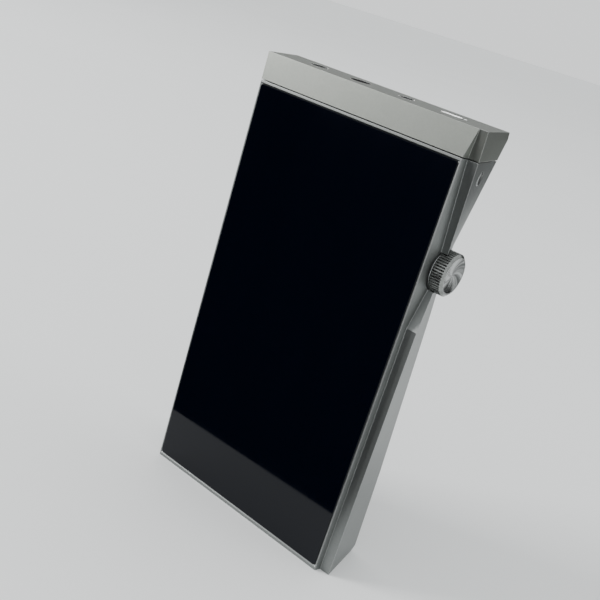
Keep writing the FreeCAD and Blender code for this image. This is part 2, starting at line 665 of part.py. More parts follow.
def release_group():
    """Round button that pushes the catch inwards; the catch tooth is drawn clear of the module."""
    face_x, slope = side_face(RELEASE_Z)
    button = cyl_x(MID, RELEASE_Z, RELEASE_R, STOP_X - 0.6, HALF)
    outside = [
        FreeCAD.Vector(face_x + RELEASE_PROUD - 5 * slope, yd(MID - 5), RELEASE_Z - 5),
        FreeCAD.Vector(face_x + RELEASE_PROUD + 5 * slope, yd(MID + 5), RELEASE_Z - 5),
        FreeCAD.Vector(HALF + 5, yd(MID + 5), RELEASE_Z - 5),
        FreeCAD.Vector(HALF + 5, yd(MID - 5), RELEASE_Z - 5),
    ]
    button = button.cut(Part.Face(polygon(outside)).extrude(FreeCAD.Vector(0, 0, 10)))
    rim = [e for e in button.Edges if e.CenterOfMass.x > face_x - 0.5 and e.Length > 5]
    button = button.makeChamfer(0.25, rim)
    ball_r = (RELEASE_DISH_R**2 + RELEASE_DISH_DEPTH**2) / (2 * RELEASE_DISH_DEPTH)
    outwards = FreeCAD.Vector(1, -slope, 0).normalize()
    face_centre = FreeCAD.Vector(face_x + RELEASE_PROUD, yd(MID), RELEASE_Z)
    button = button.cut(Part.makeSphere(ball_r, face_centre + outwards * (ball_r - RELEASE_DISH_DEPTH)))
    catch = box(CATCH_X, CATCH_X + 0.8, MID - 2.2, MID + 2.2, RELEASE_Z - 8.0, RELEASE_Z + 2.2)
    tooth = box(CATCH_X - 0.25, CATCH_X, MID - 1.8, MID + 1.8, RELEASE_Z - 8.0, RELEASE_Z - 6.6)
    spring_x = STOP_X + 1.2
    strip = box(spring_x - 0.2, spring_x, MID - 1.2, MID + 1.2, RELEASE_Z - 8.8, RELEASE_Z - 3.0)
    foot = box(spring_x - 1.0, spring_x, MID - 1.2, MID + 1.2, RELEASE_Z - 9.2, RELEASE_Z - 8.8)
    return {
        "release_button": button,
        "release_catch": catch.fuse(tooth).removeSplitter(),
        "release_spring": strip.fuse(foot).removeSplitter(),
    }


def module_cap():
    cap = module_outline()
    x0, x1 = MOD_X0 + MOD_WALL, MOD_X1 - MOD_WALL
    inner = box(x0, x1, MOD_D0 + MOD_WALL, MOD_D1 - MOD_WALL, SEAM_Z - 1, ROOF_Z)
    cap = cap.cut(inner)
    for share, bore_r, ring_r, length in SOCKETS.values():
        offset = socket_x(share)
        cap = cap.cut(cyl_z(offset, SOCKET_D, bore_r + BUSH_WALL + 0.02, ROOF_Z - 1, HEIGHT + 1))
        cap = cap.cut(cyl_z(offset, SOCKET_D, ring_r + 0.02, HEIGHT - RING_T, HEIGHT + 1))
    gap = 2 * KEY_GAP
    cap = cap.cut(pill_z(POWER_X, MID, POWER_LENGTH + gap, POWER_WIDTH + gap, ROOF_Z - 1, HEIGHT + 1))
    return cap.cut(cyl_z(LIGHT_X, MID, LIGHT_R + 0.01, ROOF_Z - 1, HEIGHT + 1))


def module_box():
    """Plug-in box under the cap, closed at the rear by its own plate."""
    x0, x1, z0 = MOD_X0 + MOD_WALL, MOD_X1 - MOD_WALL, MOD_Z0 + MOD_WALL
    body = box(MOD_X0, MOD_X1, MOD_D0, MOD_D1, MOD_Z0, SEAM_Z)
    body = body.cut(box(x0, x1, MOD_D0 + MOD_WALL, MOD_D1 + 1, z0, SEAM_Z + 1))
    body = body.cut(box(-7.2, 7.2, MOD_BOARD_D - 2.2, MOD_BOARD_D + 1.6, MOD_Z0 - 1, MOD_Z0 + 2))
    notch = box(MOD_X1 - 0.6, MOD_X1 + 1, MID - 2.4, MID + 2.4, RELEASE_Z - 9.0, RELEASE_Z - 5.6)
    body = body.cut(notch)
    for x, z in MODULE_SCREWS:
        body = body.fuse(cyl_y(x, z, 1.5, MOD_D0 + MOD_WALL - 0.1, MOD_BOARD_D))
        body = body.cut(cyl_y(x, z, 0.6, MOD_BOARD_D - 3.0, MOD_BOARD_D + 1))
    cover = box(x0 + 0.1, x1 - 0.1, MOD_D1 - 0.8, MOD_D1, z0, SEAM_Z)
    return {"module_box": body.removeSplitter(), "module_cover": cover}


MODULE_SCREWS = [
    (MOD_X0 + 2.4, MOD_Z0 + 3.4),
    (MOD_X1 - 2.4, MOD_Z0 + 3.4),
    (MOD_X0 + 2.4, SEAM_Z - 4.0),
    (MOD_X1 - 2.4, SEAM_Z - 4.0),
]


def module_electronics():
    d0, d1 = MOD_BOARD_D, MOD_BOARD_D + 1.0
    x0, x1 = MOD_X0 + MOD_WALL + 0.2, MOD_X1 - MOD_WALL - 0.2
    board = plate(x0, x1, MOD_Z0 + MOD_WALL + 0.6, SEAM_Z + 0.6, d0, d1, 0.6)
    tab = box(POWER_X - 3.2, POWER_X + 3.2, d0, d1, SEAM_Z, POWER_SWITCH_TOP)
    board = board.fuse(tab).removeSplitter()
    for x, z in MODULE_SCREWS:
        board = board.cut(cyl_y(x, z, 0.7, d0 - 1, d1 + 1))
    screws = [screw(x, z, d1, -1, 2.6) for x, z in MODULE_SCREWS]
    chip_z = (MOD_Z0 + SEAM_Z) / 2
    columns = [between(x0, x1, share) for share in (0.2, 0.4, 0.59, 0.73)]
    nodes = {
        "module_board": board,
        "module_screws": Part.makeCompound(screws),
        "dac_left": chip(columns[0], chip_z, 7.0, 7.0, d1, 1.0),
        "dac_right": chip(columns[1], chip_z, 7.0, 7.0, d1, 1.0),
        "amplifier_left": chip(columns[2], chip_z, 5.0, 6.0, d1, 1.2),
        "amplifier_right": chip(columns[3], chip_z, 5.0, 6.0, d1, 1.2),
    }
    plug = box(-6.8, 6.8, MOD_BOARD_D - 1.8, MOD_BOARD_D, MOD_Z0 - 1.2, MOD_Z0 + 4.4)
    nodes["module_plug"] = plug
    return nodes


def bay_socket():
    """Spring-contact block in the bay floor that the module's plug stands in."""
    d0, d1 = MOD_BOARD_D - 3.4, MOD_BOARD_D + 1.6
    block = box(-7.8, 7.8, d0, d1, CAVITY_Z1, BAY_Z0 + 1.6)
    recess = box(-7.0, 7.0, MOD_BOARD_D - 2.0, MOD_BOARD_D + 0.2, BAY_Z0 + 0.2, BAY_Z0 + 3)
    block = block.cut(recess)
    return {"bay_socket": block}


def sockets():
    nodes = {}
    for size, (share, bore_r, ring_r, length) in SOCKETS.items():
        offset = socket_x(share)
        tube_r = bore_r + BUSH_WALL
        bush = cyl_z(offset, SOCKET_D, tube_r, HEIGHT - BUSH_LENGTH, HEIGHT)
        flange = cyl_z(offset, SOCKET_D, ring_r, HEIGHT - RING_T, HEIGHT)
        bush = bush.fuse(flange).removeSplitter()
        bush = bush.cut(cyl_z(offset, SOCKET_D, bore_r, HEIGHT - BUSH_LENGTH - 1, HEIGHT + 1))
        foot = FreeCAD.Vector(offset, yd(SOCKET_D), HEIGHT - RING_CONE_DEPTH)
        cone = Part.makeCone(bore_r, ring_r - RING_LIP, RING_CONE_DEPTH, foot)
        nodes["socket_ring_" + size] = bush.cut(cone)
        half = tube_r + SOCKET_WALL
        top = ROOF_Z - 0.2
        d0, d1 = SOCKET_D - half, SOCKET_D + half
        shell = box(offset - half, offset + half, d0, d1, HEIGHT - length - 1.4, top)
        shell = shell.cut(cyl_z(offset, SOCKET_D, tube_r + 0.02, HEIGHT - BUSH_LENGTH, HEIGHT))
        shell = shell.cut(cyl_z(offset, SOCKET_D, bore_r, HEIGHT - length, HEIGHT))
        nodes["socket_body_" + size] = shell
    return nodes


def power_group():
    cap = pill_z(POWER_X, MID, POWER_LENGTH, POWER_WIDTH, POWER_FOOT_Z, HEIGHT)
    rim = [e for e in cap.Edges if abs(e.CenterOfMass.z - HEIGHT) < 1e-6]
    cap = cap.makeChamfer(0.2, rim)
    reach = POWER_LENGTH / 2 - 0.3
    depth = POWER_WIDTH / 2 + 0.6
    flange = box(POWER_X - reach, POWER_X + reach, MID - depth, MID + depth, ROOF_Z - 0.7, ROOF_Z - 0.02)
    top = POWER_SWITCH_TOP
    switch = box(POWER_X - 2.2, POWER_X + 2.2, MID - 1.6, MOD_BOARD_D, top - 1.6, top - 0.35)
    dome = cyl_z(POWER_X, MID, 0.9, top - 0.4, top)
    return {
        "status_light": cyl_z(LIGHT_X, MID, LIGHT_R, ROOF_Z - 0.4, HEIGHT - 0.02),
        "power_button": cap.fuse(flange).removeSplitter(),
        "power_switch": switch.fuse(dome).removeSplitter(),
    }


def build():
    os.makedirs("parts", exist_ok=True)
    save("housing", housing())
    save_all(display_stack())
    save_all(mid_plate())
    save_all(main_board())
    save_all(battery_pack())
    save_all(lower_edge())
    save_all(rear_panel())
    save_all(wheel_group())
    save_all(side_keys())
    save_all(release_group())
    save("module_cap", module_cap())
    save_all(module_box())
    save_all(module_electronics())
    save_all(bay_socket())
    save_all(sockets())
    save_all(power_group())


build()
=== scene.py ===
import math

import bmesh
import bpy
from mathutils import Matrix, Vector


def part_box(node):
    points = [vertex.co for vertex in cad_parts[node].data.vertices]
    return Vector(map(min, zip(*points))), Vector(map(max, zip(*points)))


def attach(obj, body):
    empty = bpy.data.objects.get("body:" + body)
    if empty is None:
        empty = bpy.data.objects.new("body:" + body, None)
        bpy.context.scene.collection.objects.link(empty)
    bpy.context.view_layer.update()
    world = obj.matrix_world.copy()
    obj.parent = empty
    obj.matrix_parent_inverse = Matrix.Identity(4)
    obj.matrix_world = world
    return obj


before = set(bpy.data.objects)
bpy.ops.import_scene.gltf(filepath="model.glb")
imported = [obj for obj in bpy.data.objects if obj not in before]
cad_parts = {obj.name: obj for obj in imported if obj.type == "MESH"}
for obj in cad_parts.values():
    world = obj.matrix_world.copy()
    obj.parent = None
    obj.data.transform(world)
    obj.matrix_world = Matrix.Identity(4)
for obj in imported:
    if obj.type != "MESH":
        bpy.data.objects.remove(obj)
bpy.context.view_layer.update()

MM = 0.001

ACROSS_X = (0.0, 1.0, 1.0)
ACROSS_Z = (1.0, 1.0, 0.0)
TOOTH_DEPTH = 0.28 * MM
RIM_WIDTH = 0.75 * MM
SOCKET_LIP = 0.16 * MM
WIDE_SOCKET_LIP = 0.12 * MM
# size, bore radius in mm, number of contact leaves
SOCKET_CONTACTS = (("35", 1.80, 3), ("44", 2.25, 4), ("25", 1.30, 3))
USB_PADS = 12
USB_PITCH = 0.5 * MM


# ---- node helpers ----------------------------------------------------------
def new_material(name):
    """A node material; returns it with its tree and its Principled shader."""
    mat = bpy.data.materials.new(name)
    mat.use_nodes = True
    tree = mat.node_tree
    return mat, tree, tree.nodes["Principled BSDF"]


def add(tree, kind, **values):
    node = tree.nodes.new(kind)
    for key, value in values.items():
        setattr(node, key, value)
    return node


def place(tree, scale=(1.0, 1.0, 1.0), rotation=(0.0, 0.0, 0.0)):
    """Object-space position in metres, stretched by scale."""
    coord = add(tree, "ShaderNodeTexCoord")
    mapping = add(tree, "ShaderNodeMapping")
    mapping.inputs["Scale"].default_value = scale
    mapping.inputs["Rotation"].default_value = rotation
    tree.links.new(coord.outputs["Object"], mapping.inputs["Vector"])
    return mapping.outputs["Vector"]


def noise(tree, vector, scale, detail=2.0, rough=0.5, distortion=0.0):
    node = add(tree, "ShaderNodeTexNoise")
    node.inputs["Scale"].default_value = scale
    node.inputs["Detail"].default_value = detail
    node.inputs["Roughness"].default_value = rough
    node.inputs["Distortion"].default_value = distortion
    tree.links.new(vector, node.inputs["Vector"])
    return node.outputs["Fac"]


def spread(tree, value, low, high):
    """Maps a 0 to 1 value to the range low to high."""
    node = add(tree, "ShaderNodeMapRange")
    node.inputs["From Min"].default_value = 0.25
    node.inputs["From Max"].default_value = 0.75
    node.inputs["To Min"].default_value = low
    node.inputs["To Max"].default_value = high
    tree.links.new(value, node.inputs["Value"])
    return node.outputs["Result"]


def math_node(tree, operation, a, b):
    node = add(tree, "ShaderNodeMath", operation=operation)
    for socket, value in zip(node.inputs, (a, b)):
        if isinstance(value, (int, float)):
            socket.default_value = value
        else:
            tree.links.new(value, socket)
    return node.outputs["Value"]


def blend_colour(tree, factor, first, second):
    node = add(tree, "ShaderNodeMix", data_type="RGBA")
    tree.links.new(factor, node.inputs["Factor"])
    for name, value in (("A", first), ("B", second)):
        socket = [s for s in node.inputs if s.name == name and s.type == "RGBA"][0]
        if isinstance(value, tuple):
            socket.default_value = value + (1.0,)
        else:
            tree.links.new(value, socket)
    return [s for s in node.outputs if s.type == "RGBA"][0]


def bump(tree, height, strength, distance, normal=None):
    node = add(tree, "ShaderNodeBump")
    node.inputs["Strength"].default_value = strength
    node.inputs["Distance"].default_value = distance
    tree.links.new(height, node.inputs["Height"])
    if normal is not None:
        tree.links.new(normal, node.inputs["Normal"])
    return node.outputs["Normal"]


def soft_edges(tree, radius):
    node = add(tree, "ShaderNodeBevel", samples=6)
    node.inputs["Radius"].default_value = radius
    return node.outputs["Normal"]


def edge_mask(tree, bevel_normal):
    """0 on flat faces, rising where the rounded normal leaves the true one."""
    geometry = add(tree, "ShaderNodeNewGeometry")
    dot = add(tree, "ShaderNodeVectorMath", operation="DOT_PRODUCT")
    tree.links.new(bevel_normal, dot.inputs[0])
    tree.links.new(geometry.outputs["Normal"], dot.inputs[1])
    flat = math_node(tree, "SUBTRACT", 1.0, dot.outputs["Value"])
    scaled = math_node(tree, "MULTIPLY", flat, 6.0)
    return math_node(tree, "MINIMUM", scaled, 1.0)


# ---- materials -------------------------------------------------------------
def blasted_metal(name, light, dark, rough):
    """Bead-blasted satin metal: fine grain, faint mottling, burnished smoother edges, and a painted
    highlight that lightens the edges.
    """
    mat, tree, shader = new_material(name)
    vector = place(tree)
    grain = 5200.0
    fine = noise(tree, vector, grain, 3.0, 0.6)
    broad = noise(tree, vector, 45.0, 4.0, 0.55)
    speck = noise(tree, vector, grain * 0.3, 2.0, 0.7)
    colour = blend_colour(tree, spread(tree, broad, 0.0, 1.0), dark, light)
    spotted = blend_colour(tree, spread(tree, speck, 0.0, 0.30), colour, tuple(c * 0.66 for c in light))
    rounded = soft_edges(tree, 0.16 * MM)
    mask = edge_mask(tree, rounded)
    # painted highlight: the colour turns towards near white along the edges
    edge_highlight = math_node(tree, "MULTIPLY", mask, 0.35)
    edge_highlighted = blend_colour(tree, edge_highlight, spotted, (0.93, 0.93, 0.92))
    tree.links.new(edge_highlighted, shader.inputs["Base Color"])
    shader.inputs["Metallic"].default_value = 1.0
    base = spread(tree, fine, rough - 0.04, rough + 0.05)
    burnish = math_node(tree, "MULTIPLY", mask, 0.12)
    tree.links.new(math_node(tree, "SUBTRACT", base, burnish), shader.inputs["Roughness"])
    tree.links.new(bump(tree, fine, 0.40, 0.00002, rounded), shader.inputs["Normal"])
    return mat


def axis_position(tree, centre, plane):
    """Position relative to a centre, the same flattened to a plane, and its distance from there."""
    shift = add(tree, "ShaderNodeVectorMath", operation="SUBTRACT")
    shift.inputs[1].default_value = centre
    tree.links.new(place(tree), shift.inputs[0])
    flat = add(tree, "ShaderNodeVectorMath", operation="MULTIPLY")
    flat.inputs[1].default_value = plane
    tree.links.new(shift.outputs["Vector"], flat.inputs[0])
    reach = add(tree, "ShaderNodeVectorMath", operation="LENGTH")
    tree.links.new(flat.outputs["Vector"], reach.inputs[0])
    return shift.outputs["Vector"], flat.outputs["Vector"], reach.outputs["Value"]


def between_values(tree, value, start, end, low=0.0, high=1.0):
    """Maps the range start to end to the range low to high."""
    node = add(tree, "ShaderNodeMapRange")
    node.inputs["From Min"].default_value = start
    node.inputs["From Max"].default_value = end
    node.inputs["To Min"].default_value = low
    node.inputs["To Max"].default_value = high
    tree.links.new(value, node.inputs["Value"])
    return node.outputs["Result"]


def knurled(name, colour, rough, centre, crest, depth, rim_x):
    """Straight knurl: crests lightened by a painted highlight, grooves darkened by painted shade, and a
    lighter turned rim past rim_x.
    """
    mat, tree, shader = new_material(name)
    place_at, _, radius = axis_position(tree, centre, ACROSS_X)
    grime = noise(tree, place_at, 500.0, 3.0, 0.6)
    fine = noise(tree, place(tree), 5200.0, 2.0, 0.6)
    # painted shade: the colour falls to near black in the grooves below the crests; the grime noise
    # darkens the rest at random
    crestness = between_values(tree, radius, crest - 0.6 * depth, crest - 0.12 * depth)
    split = add(tree, "ShaderNodeSeparateXYZ")
    tree.links.new(place_at, split.inputs["Vector"])
    rim = between_values(tree, split.outputs["X"], rim_x - 0.0001, rim_x)
    unshaded_part = math_node(tree, "MAXIMUM", crestness, rim)
    unshaded_and_clean = math_node(tree, "MULTIPLY", unshaded_part, spread(tree, grime, 0.72, 1.0))
    shade = blend_colour(tree, unshaded_and_clean, tuple(c * 0.07 for c in colour), colour)
    rounded = soft_edges(tree, 0.00009)
    # painted highlight: the colour turns towards near white along the crest edges
    edge_highlight = math_node(tree, "MULTIPLY", edge_mask(tree, rounded), 0.55)
    edge_highlighted = blend_colour(tree, edge_highlight, shade, (0.9, 0.9, 0.89))
    tree.links.new(edge_highlighted, shader.inputs["Base Color"])
    shader.inputs["Metallic"].default_value = 1.0
    tree.links.new(spread(tree, fine, rough - 0.04, rough + 0.08), shader.inputs["Roughness"])
    tree.links.new(bump(tree, fine, 0.2, 0.00001, rounded), shader.inputs["Normal"])
    return mat


def swirl_reflection_dish(name, colour, rough, centre):
    """Turned and polished dish: fine rings, crossed by radial light and dark swirls that are a painted
    reflection of the turned finish.
    """
    mat, tree, shader = new_material(name)
    place_at, flat, radius = axis_position(tree, centre, ACROSS_X)
    unit = add(tree, "ShaderNodeVectorMath", operation="NORMALIZE")
    tree.links.new(flat, unit.inputs[0])
    twist = add(tree, "ShaderNodeVectorRotate", rotation_type="X_AXIS")
    tree.links.new(unit.outputs["Vector"], twist.inputs["Vector"])
    tree.links.new(math_node(tree, "MULTIPLY", radius, 150.0), twist.inputs["Angle"])
    # painted reflection: light and dark radial sectors in the colour stand in for the dish's highlights
    sectors = noise(tree, twist.outputs["Vector"], 2.6, 2.0, 0.5, 0.3)
    cloud = noise(tree, place_at, 350.0, 3.0, 0.6)
    reflection_streak = math_node(tree, "ADD", sectors, math_node(tree, "MULTIPLY", cloud, 0.18))
    painted_swirl = between_values(tree, reflection_streak, 0.46, 0.68)
    ring = math_node(tree, "SINE", math_node(tree, "MULTIPLY", radius, 32000.0), 0.0)
    shade = blend_colour(tree, painted_swirl, tuple(c * 0.20 for c in colour), colour)
    rounded = soft_edges(tree, 0.0001)
    tree.links.new(shade, shader.inputs["Base Color"])
    shader.inputs["Metallic"].default_value = 1.0
    tree.links.new(between_values(tree, cloud, 0.3, 0.7, rough, rough + 0.12), shader.inputs["Roughness"])
    tree.links.new(bump(tree, ring, 0.15, 0.00001, rounded), shader.inputs["Normal"])
    return mat


def socket_face(name, node, lip, bright, dark, bore_colour):
    """Recessed socket insert: a bright turned lip round a dark cone, and a plated bore."""
    low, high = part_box(node)
    centre = ((low.x + high.x) / 2, (low.y + high.y) / 2, high.z)
    mat, tree, shader = new_material(name)
    place_at, _, radius = axis_position(tree, centre, ACROSS_Z)
    outer = (high.x - low.x) / 2
    rim = between_values(tree, radius, outer - lip - 0.04 * MM, outer - lip)
    split = add(tree, "ShaderNodeSeparateXYZ")
    tree.links.new(place_at, split.inputs["Vector"])
    deep = between_values(tree, split.outputs["Z"], -0.6 * MM, -0.8 * MM)
    cloud = noise(tree, place(tree), 900.0, 3.0, 0.6)
    inner = blend_colour(tree, deep, dark, bore_colour)
    shade = blend_colour(tree, rim, inner, bright)
    toned = blend_colour(tree, spread(tree, cloud, 0.0, 0.25), shade, tuple(c * 0.5 for c in dark))
    tree.links.new(toned, shader.inputs["Base Color"])
    tree.links.new(math_node(tree, "MAXIMUM", rim, deep), shader.inputs["Metallic"])
    shader.inputs["Specular IOR Level"].default_value = 0.0
    tree.links.new(spread(tree, cloud, 0.14, 0.24), shader.inputs["Roughness"])
    tree.links.new(bump(tree, cloud, 0.05, 0.00001, soft_edges(tree, 0.00008)), shader.inputs["Normal"])
    return mat


def polished_metal(name, colour, rough):
    """Bright polished metal with faint wipe marks."""
    mat, tree, shader = new_material(name)
    vector = place(tree)
    broad = noise(tree, vector, 260.0, 4.0, 0.6, 0.8)
    fine = noise(tree, place(tree, (300.0, 9000.0, 300.0)), 1.0, 3.0, 0.6)
    shade = blend_colour(tree, spread(tree, broad, 0.0, 1.0), tuple(c * 0.9 for c in colour), colour)
    tree.links.new(shade, shader.inputs["Base Color"])
    shader.inputs["Metallic"].default_value = 1.0
    tree.links.new(spread(tree, broad, rough, rough + 0.08), shader.inputs["Roughness"])
    tree.links.new(bump(tree, fine, 0.06, 0.00001, soft_edges(tree, 0.0001)), shader.inputs["Normal"])
    return mat


def brushed_metal(name, colour, rough):
    """Metal with fine streaks along X and faint clouding."""
    mat, tree, shader = new_material(name)
    streaks = noise(tree, place(tree, (60.0, 9000.0, 9000.0)), 1.0, 3.0, 0.6)
    cloud = noise(tree, place(tree), 120.0, 3.0, 0.5)
    shade = blend_colour(tree, spread(tree, streaks, 0.0, 1.0), tuple(c * 0.84 for c in colour), colour)
    toned = blend_colour(tree, spread(tree, cloud, 0.0, 0.2), shade, tuple(c * 0.7 for c in colour))
    tree.links.new(toned, shader.inputs["Base Color"])
    shader.inputs["Metallic"].default_value = 1.0
    tree.links.new(spread(tree, streaks, rough - 0.05, rough + 0.06), shader.inputs["Roughness"])
    tree.links.new(bump(tree, streaks, 0.1, 0.00001, soft_edges(tree, 0.08 * MM)), shader.inputs["Normal"])
    return mat


def gloss_glass(name, colour, tint, level, haze=0.03):
    """Black-backed glass: a deep colour with faint wipe marks and specks of dust in its gloss."""
    mat, tree, shader = new_material(name)
    vector = place(tree)
    wipes = noise(tree, place(tree, (30.0, 30.0, 9.0), (0.0, 0.5, 0.0)), 1.0, 5.0, 0.6, 0.6)
    dust = noise(tree, vector, 2600.0, 1.0, 0.4)
    shade = blend_colour(tree, spread(tree, wipes, 0.0, 1.0), colour, tint)
    specks = math_node(tree, "MULTIPLY", between_values(tree, dust, 0.80, 0.88), 0.5)
    dusty = blend_colour(tree, specks, shade, (0.05, 0.05, 0.05))
    tree.links.new(dusty, shader.inputs["Base Color"])
    tree.links.new(spread(tree, wipes, haze, haze + 0.07), shader.inputs["Roughness"])
    shader.inputs["IOR"].default_value = 1.5
    shader.inputs["Specular IOR Level"].default_value = level
    tree.links.new(bump(tree, wipes, 0.02, 0.00002), shader.inputs["Normal"])
    return mat


def moulded(name, colour, rough, grain=3800.0, gloss=0.4, glow=0.0):
    """Moulded plastic with a fine sparked texture; glow is the strength of a light behind it."""
    mat, tree, shader = new_material(name)
    vector = place(tree)
    fine = noise(tree, vector, grain, 3.0, 0.55)
    broad = noise(tree, vector, 90.0, 3.0, 0.5)
    shade = blend_colour(tree, spread(tree, broad, 0.0, 1.0), tuple(c * 0.75 for c in colour), colour)
    tree.links.new(shade, shader.inputs["Base Color"])
    tree.links.new(spread(tree, fine, rough - 0.06, rough + 0.08), shader.inputs["Roughness"])
    shader.inputs["Specular IOR Level"].default_value = gloss
    shader.inputs["Emission Color"].default_value = (1.0, 1.0, 1.0, 1.0)
    shader.inputs["Emission Strength"].default_value = glow
    tree.links.new(bump(tree, fine, 0.25, 0.00002, soft_edges(tree, 0.0001)), shader.inputs["Normal"])
    return mat


def circuit(name, mask_colour, line_colour):
    """Solder mask with a grid of fine raised tracks."""
    mat, tree, shader = new_material(name)
    vector = place(tree)
    bricks = add(tree, "ShaderNodeTexBrick")
    bricks.inputs["Scale"].default_value = 420.0
    bricks.inputs["Mortar Size"].default_value = 0.03
    tree.links.new(place(tree, (1.0, 0.0, 1.0), (math.pi / 2, 0.0, 0.0)), bricks.inputs["Vector"])
    cloud = noise(tree, vector, 150.0, 3.0, 0.6)
    shade = blend_colour(tree, bricks.outputs["Fac"], mask_colour, line_colour)
    toned = blend_colour(tree, spread(tree, cloud, 0.0, 0.3), shade, tuple(c * 0.5 for c in mask_colour))
    tree.links.new(toned, shader.inputs["Base Color"])
    tree.links.new(spread(tree, cloud, 0.32, 0.44), shader.inputs["Roughness"])
    tree.links.new(bump(tree, bricks.outputs["Fac"], 0.3, 0.00003), shader.inputs["Normal"])
    return mat


def wheel_centre():
    low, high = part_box("wheel_rim")
    middle = (low + high) / 2
    return (middle.x, middle.y, middle.z)


def build_materials():
    hub = wheel_centre()
    low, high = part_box("wheel_rim")
    crest = (high.z - low.z) / 2
    rim_x = high.x - hub[0] - RIM_WIDTH
    deep_blue, blue_tint = (0.0002, 0.0006, 0.0022), (0.0003, 0.0008, 0.0027)
    knurl_grey = (0.27, 0.28, 0.27)
    return {
        "body_metal": blasted_metal("body_metal", (0.230, 0.241, 0.237), (0.200, 0.210, 0.206), 0.42),
        "cap_metal": blasted_metal("cap_metal", (0.256, 0.268, 0.247), (0.222, 0.234, 0.215), 0.44),
        "polished_metal": polished_metal("polished_metal", (0.88, 0.88, 0.87), 0.10),
        "knurled_metal": knurled("knurled_metal", knurl_grey, 0.22, hub, crest, TOOTH_DEPTH, rim_x),
        "button_metal": blasted_metal("button_metal", (0.27, 0.28, 0.275), (0.23, 0.24, 0.235), 0.34),
        "steel": brushed_metal("steel", (0.60, 0.60, 0.60), 0.3),
        "screw_steel": brushed_metal("screw_steel", (0.30, 0.30, 0.31), 0.34),
        "copper_tint": brushed_metal("copper_tint", (0.78, 0.50, 0.34), 0.25),
        "display_glass": gloss_glass("display_glass", deep_blue, blue_tint, 0.25),
        "rear_glass": gloss_glass("rear_glass", (0.011, 0.012, 0.014), (0.016, 0.017, 0.019), 0.30, 0.20),
        "black_plastic": moulded("black_plastic", (0.018, 0.018, 0.02), 0.5),
        "module_plastic": moulded("module_plastic", (0.06, 0.062, 0.066), 0.55),
        "display_layers": moulded("display_layers", (0.03, 0.033, 0.036), 0.25, 900.0),
        "adhesive": moulded("adhesive", (0.03, 0.03, 0.03), 0.7, 6000.0, 0.2),
        "board_green": circuit("board_green", (0.012, 0.09, 0.05), (0.03, 0.16, 0.09)),
        "board_black": circuit("board_black", (0.012, 0.013, 0.015), (0.03, 0.032, 0.035)),
        "chip_epoxy": moulded("chip_epoxy", (0.022, 0.022, 0.025), 0.6, 5200.0),
        "battery_film": moulded("battery_film", (0.12, 0.125, 0.13), 0.3, 700.0),
        "flex_film": moulded("flex_film", (0.42, 0.20, 0.04), 0.3, 1500.0),
        "light_guide": moulded("light_guide", (0.92, 0.93, 0.94), 0.25, 2000.0),
    }


def slot_of(obj):
    """The record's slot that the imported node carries, from its imported material's name."""
    name = obj.material_slots[0].material.name
    return name.split(".")[0]


def special_materials():
    """Materials for single nodes whose parts differ in finish."""
    steel_lip = (0.90, 0.90, 0.89)
    black = (0.012, 0.012, 0.014)
    bore = (0.10, 0.10, 0.11)
    copper = (0.80, 0.44, 0.27)
    copper_lip = (0.5, 0.4, 0.36)
    return {
        "status_light": moulded("lit_lens", (0.92, 0.93, 0.94), 0.25, 2000.0, glow=2.5),
        "wheel_dish": swirl_reflection_dish("dish_painted_reflection", (0.36, 0.37, 0.365), 0.13, wheel_centre()),
        "socket_ring_35": socket_face(
            "socket_face_35", "socket_ring_35", SOCKET_LIP, steel_lip, black, bore),
        "socket_ring_25": socket_face(
            "socket_face_25", "socket_ring_25", SOCKET_LIP, steel_lip, black, bore),
        "socket_ring_44": socket_face(
            "socket_face_44", "socket_ring_44", WIDE_SOCKET_LIP, copper_lip, black, copper),
    }


def dress_frame(materials):
    """Gives each CAD node the material of its slot, then the single nodes their own."""
    for name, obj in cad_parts.items():
        slot = slot_of(obj)
        if slot not in materials:
            raise RuntimeError("node " + name + " has an unknown slot " + slot)
        for entry in obj.material_slots:
            entry.material = materials[slot]
    for name, material in special_materials().items():
        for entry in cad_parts[name].material_slots:
            entry.material = material


# ---- added detail ----------------------------------------------------------
def piece(name, mesh, body, material):
    """Adds a mesh as a visual piece that moves with a body."""
    obj = bpy.data.objects.new(name, mesh)
    bpy.context.scene.collection.objects.link(obj)
    mesh.materials.append(material)
    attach(obj, body)


def leaf_spring(bm, axis, radius, angle, top, length):
    """One bent contact leaf that lies along the bore wall and bows towards the plug."""
    steps = 8
    width = 0.35 * MM
    thickness = 0.10 * MM
    wall_gap = 0.06 * MM
    bow_height = 0.28 * MM
    rows = []
    for k in range(steps + 1):
        t = k / steps
        bow = math.sin(math.pi * t) * bow_height
        r = radius - wall_gap - bow
        z = top - length * t
        row = []
        for side in (-1, 1):
            for thick in (0.0, thickness):
                across = side * width / 2
                x = (r - thick) * math.cos(angle) - across * math.sin(angle)
                y = (r - thick) * math.sin(angle) + across * math.cos(angle)
                row.append(bm.verts.new((axis.x + x, axis.y + y, z)))
        rows.append(row)
    for first, second in zip(rows, rows[1:]):
        for a, b in ((0, 1), (1, 3), (3, 2), (2, 0)):
            bm.faces.new((first[a], first[b], second[b], second[a]))
    bm.faces.new((rows[0][0], rows[0][2], rows[0][3], rows[0][1]))
    bm.faces.new((rows[-1][0], rows[-1][1], rows[-1][3], rows[-1][2]))


